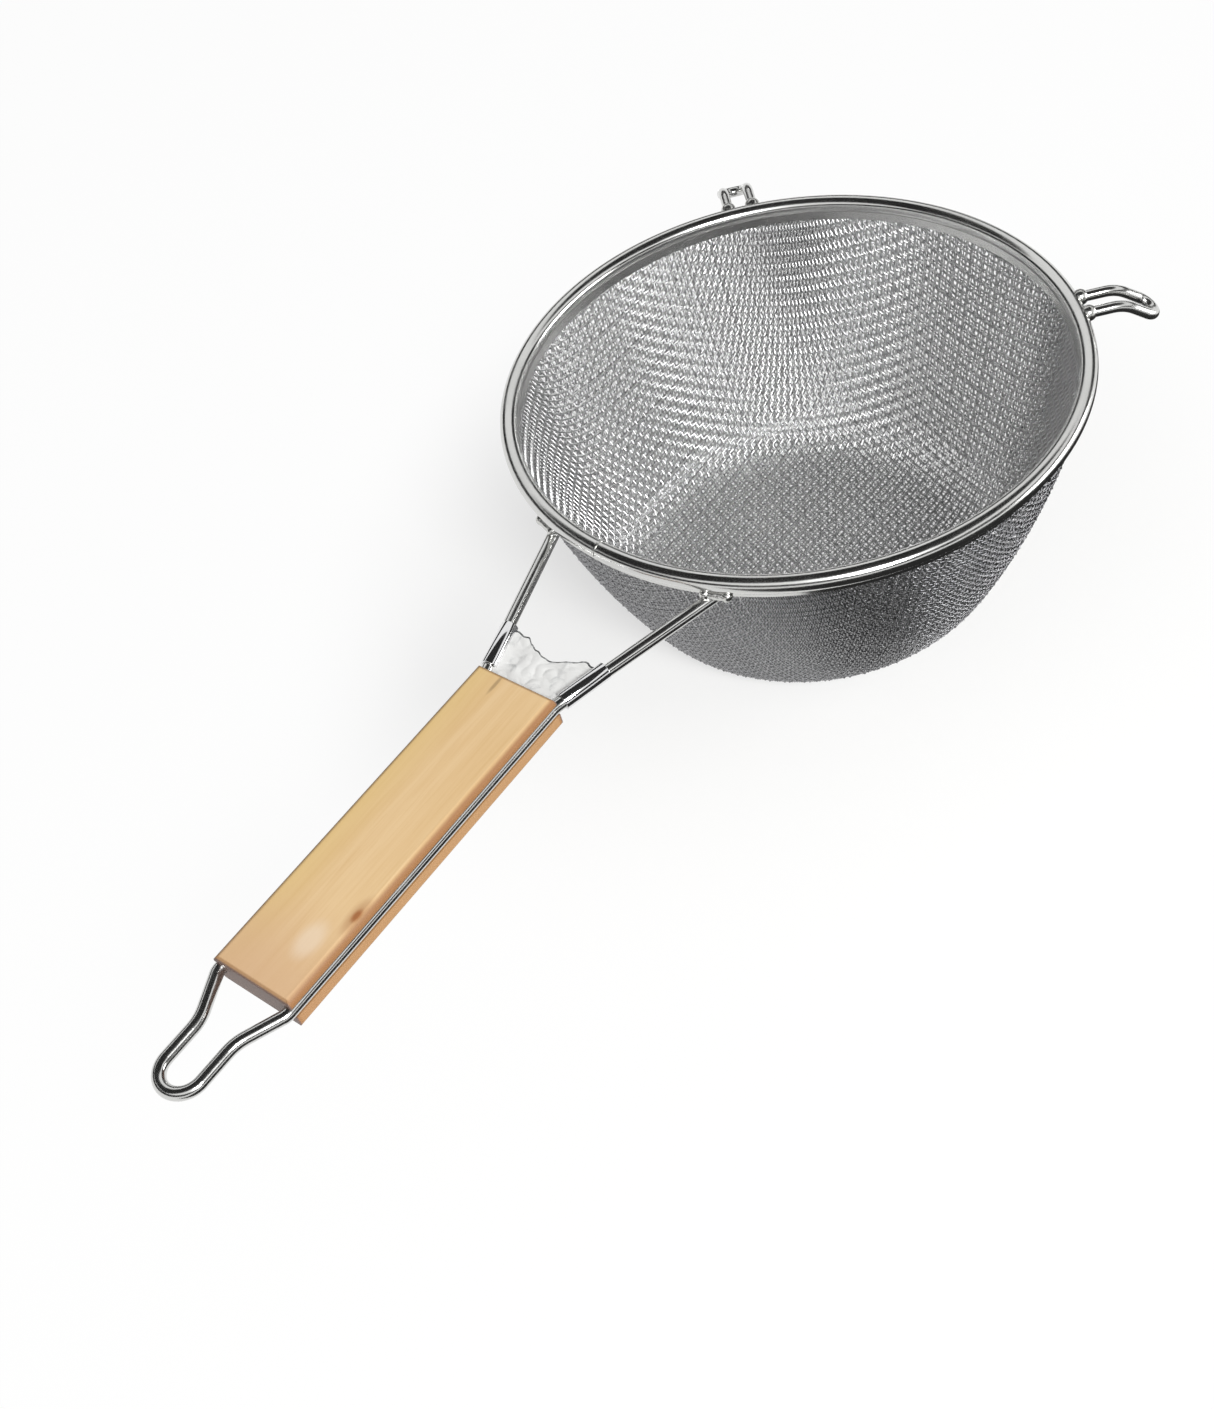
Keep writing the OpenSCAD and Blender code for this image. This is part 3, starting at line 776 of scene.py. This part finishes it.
    def lamp(self, name, power, size, place, aim):
        """A soft lamp with a square-cornered face, turned to its aim."""
        data = bpy.data.lights.new(name, "AREA")
        data.energy = power
        data.shape = "RECTANGLE"
        data.size, data.size_y = size
        lamp = bpy.data.objects.new(name, data)
        bpy.context.collection.objects.link(lamp)
        lamp.location = place
        lamp.rotation_euler = (aim - lamp.location).to_track_quat("-Z", "Y").to_euler()


class STRAINER_OT_coarse_cloth(bpy.types.Operator):
    """Weave the coarse inner cloth"""

    bl_idname = "strainer.coarse_cloth"
    bl_label = "Coarse cloth"

    def execute(self, context):
        sizes = context.scene.strainer_cloth
        section = BowlSection(context.scene.strainer_bowl, sizes.coarse_depth)
        for piece in weave(
            "coarse", section, sizes.coarse_pitch, sizes.coarse_wire, sizes.coarse_crimp,
            (sizes.warp_angle, sizes.weft_angle), COARSE_CROWN, COARSE_SIDES,
        ):
            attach(piece, "root")
            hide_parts("inner_mesh")
        return {"FINISHED"}


class STRAINER_OT_fine_cloth(bpy.types.Operator):
    """Weave the fine outer cloth"""

    bl_idname = "strainer.fine_cloth"
    bl_label = "Fine cloth"

    def execute(self, context):
        sizes = context.scene.strainer_cloth
        section = BowlSection(context.scene.strainer_bowl, sizes.fine_depth)

        def sink(along, across):
            """Depth into the gaps of the coarse cloth, none at its crossings."""
            rise_along, rise_across = [
                0.5 + 0.5 * np.cos(2 * math.pi * run / sizes.coarse_pitch) for run in (along, across)
            ]
            return sizes.fine_sink * (1 - rise_along * rise_across)

        for piece in weave(
            "fine", section, sizes.fine_pitch, sizes.fine_wire, sizes.fine_crimp,
            (sizes.warp_angle, sizes.weft_angle), FINE_CROWN, FINE_SIDES, sink,
        ):
            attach(piece, "root")
            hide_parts("outer_mesh")
        return {"FINISHED"}


class STRAINER_OT_bright_metal(bpy.types.Operator):
    """Finish the rim, the handle wire, the hook rests and the welds"""

    bl_idname = "strainer.bright_metal"
    bl_label = "Bright metal"

    def execute(self, context):
        dress(polished_steel(), "rim_band", "rim_wire", "handle_wire", "ear_left", "ear_right")
        dress(
            weld_metal(), "rim_seam_weld", "ear_welds_left", "ear_welds_right",
            "prong_welds_left", "prong_welds_right",
        )
        return {"FINISHED"}


class STRAINER_OT_gusset(bpy.types.Operator):
    """Crumple the sheet between the prongs and roll its sleeves"""

    bl_idname = "strainer.gusset"
    bl_label = "Gusset"

    # Faces of the web along and across, and of a sleeve round its prong
    WEB_GRID = (60, 96)
    SLEEVE_SIDES = 40

    # Edges that turn by less than this look round
    WEB_SMOOTH = math.radians(50)
    SLEEVE_SMOOTH = math.radians(40)

    # Place along the web, -1 at the grip and 1 in front, past which it is the dark burr of its cut
    BURR_STARTS = 0.94

    # Unevenness of the front edge, and how quickly it changes across the web
    RAGGED = 0.7 * MM
    RAGGED_WAVES = 7

    # Sizes in mm of the wide folds and the sharp creases, and the creases' weight and level
    FOLD_SIZE = 7
    CREASE_SIZE = 4.2
    CREASE_WEIGHT = 1.2
    CREASE_LEVEL = 0.3

    # Distances from a sleeve and from the grip over which the folds grow
    SLEEVE_EASE = 3 * MM
    GRIP_EASE = 2 * MM

    def execute(self, context):
        shape = context.scene.strainer_gusset
        self.rise = math.tan(context.scene.strainer_grip.tilt)
        self.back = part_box("gusset_plate")[0].x
        for piece in (self.web(shape), self.sleeves(shape)):
            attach(piece, "root")
            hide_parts("gusset_plate")
        return {"FINISHED"}

    def web(self, shape):
        """The crumpled sheet, from prong to prong."""
        along, across = self.WEB_GRID
        bpy.ops.object.select_all(action="DESELECT")
        bpy.ops.mesh.primitive_grid_add(x_subdivisions=along, y_subdivisions=across, size=2.0)
        web = bpy.context.object
        web.name = "gusset_web"
        for face in web.data.polygons:
            face.material_index = int(face.center.x > self.BURR_STARTS)
        for vertex in web.data.vertices:
            vertex.co = self.on_web(shape, (vertex.co.x + 1) / 2, vertex.co.y)
        thickness = web.modifiers.new("sheet", "SOLIDIFY")
        thickness.thickness = shape.sheet
        thickness.offset = 0.0
        thickness.material_offset_rim = 1
        for material in (tinned_sheet(), cut_edge()):
            web.data.materials.append(material)
        bpy.ops.object.modifier_apply(modifier=thickness.name)
        bpy.ops.object.shade_smooth_by_angle(angle=self.WEB_SMOOTH)
        return web

    def on_web(self, shape, along, across):
        """Place on the sheet, along from the grip to the front edge and across from prong to prong."""
        spread = math.tan(shape.splay)
        shoulder = shape.prong_apart + shape.reach * spread
        scoop = max(0.0, 1 - (across * shoulder / (shape.scoop_width / 2)) ** 2) * shape.scoop_depth
        ragged = self.RAGGED * noise.noise(Vector((0, across * self.RAGGED_WAVES, 0)))
        run = along * (shape.reach - scoop + ragged)
        sleeve_back = shape.sleeve_start * math.cos(shape.splay)
        notch = max(0.0, 1 - run / sleeve_back) * shape.sleeve_width
        side = shape.prong_apart + run * spread - notch
        x, y = self.back + run, across * side
        flat = Vector((x, y, 0)) / MM
        creases = self.CREASE_WEIGHT * abs(noise.noise(flat / self.CREASE_SIZE))
        folds = noise.noise(flat / self.FOLD_SIZE) + creases - self.CREASE_LEVEL
        from_sleeve = (side - abs(y) - shape.sleeve_width / 2) / self.SLEEVE_EASE
        free = min(1.0, max(0.0, from_sleeve), run / self.GRIP_EASE)
        return Vector((x, y, shape.prong_height + run * self.rise + free * shape.crumple * folds))

    def sleeves(self, shape):
        """The sheet's two sides, rolled round the prongs."""
        halves = []
        for side in (1, -1):
            out, aside = math.cos(shape.splay), side * math.sin(shape.splay)
            way = Vector((out, aside, out * self.rise))
            start = Vector((self.back, side * shape.prong_apart, shape.prong_height))
            bpy.ops.object.select_all(action="DESELECT")
            bpy.ops.mesh.primitive_cylinder_add(
                vertices=self.SLEEVE_SIDES, radius=shape.sleeve_width / 2, depth=shape.sleeve_run,
                end_fill_type="NOTHING",
                location=start + way.normalized() * (shape.sleeve_start + shape.sleeve_run / 2),
                rotation=way.to_track_quat("Z", "Y").to_euler(),
            )
            bpy.ops.object.transform_apply()
            half = bpy.context.object
            wall = half.modifiers.new("wall", "SOLIDIFY")
            wall.thickness = shape.sheet
            wall.offset = -1.0
            soft = half.modifiers.new("soft", "BEVEL")
            soft.width = shape.sheet / 4
            soft.segments = 2
            for modifier in (wall, soft):
                bpy.ops.object.modifier_apply(modifier=modifier.name)
            halves.append(half)
        for half in halves:
            half.select_set(True)
        bpy.ops.object.join()
        bpy.ops.object.shade_smooth_by_angle(angle=self.SLEEVE_SMOOTH)
        sleeves = bpy.context.object
        sleeves.name = "gusset_sleeves"
        sleeves.data.materials.append(bpy.data.materials["polished_steel"])
        return sleeves


class STRAINER_OT_grip(bpy.types.Operator):
    """Finish the wooden grip"""

    bl_idname = "strainer.grip"
    bl_label = "Wooden grip"

    def execute(self, context):
        dress(sanded_wood(), "wood_grip")
        return {"FINISHED"}


class STRAINER_PT_panel(bpy.types.Panel):
    """Lists the steps that dress the strainer"""

    bl_idname = "STRAINER_PT_panel"
    bl_label = "Double mesh strainer"
    bl_space_type = "VIEW_3D"
    bl_region_type = "UI"
    bl_category = "Strainer"

    def draw(self, context):
        for step in STEPS:
            self.layout.operator(step.bl_idname)


STEPS = (
    STRAINER_OT_stage,
    STRAINER_OT_coarse_cloth,
    STRAINER_OT_fine_cloth,
    STRAINER_OT_bright_metal,
    STRAINER_OT_gusset,
    STRAINER_OT_grip,
)
GROUPS = {
    "strainer_bowl": BowlShape,
    "strainer_cloth": ClothSizes,
    "strainer_gusset": GussetShape,
    "strainer_grip": GripMarks,
    "strainer_finishes": Finishes,
    "strainer_stage": StageSetup,
}


def register():
    for kind in (*GROUPS.values(), *STEPS, STRAINER_PT_panel):
        bpy.utils.register_class(kind)
    for name, kind in GROUPS.items():
        setattr(bpy.types.Scene, name, PointerProperty(type=kind))


def unregister():
    for name in GROUPS:
        delattr(bpy.types.Scene, name)
    for kind in (STRAINER_PT_panel, *reversed(STEPS), *reversed(GROUPS.values())):
        bpy.utils.unregister_class(kind)


def main():
    register()
    bpy.ops.strainer.stage()
    bpy.ops.strainer.coarse_cloth()
    bpy.ops.strainer.fine_cloth()
    bpy.ops.strainer.bright_metal()
    bpy.ops.strainer.gusset()
    bpy.ops.strainer.grip()


if __name__ == "__main__":
    main()
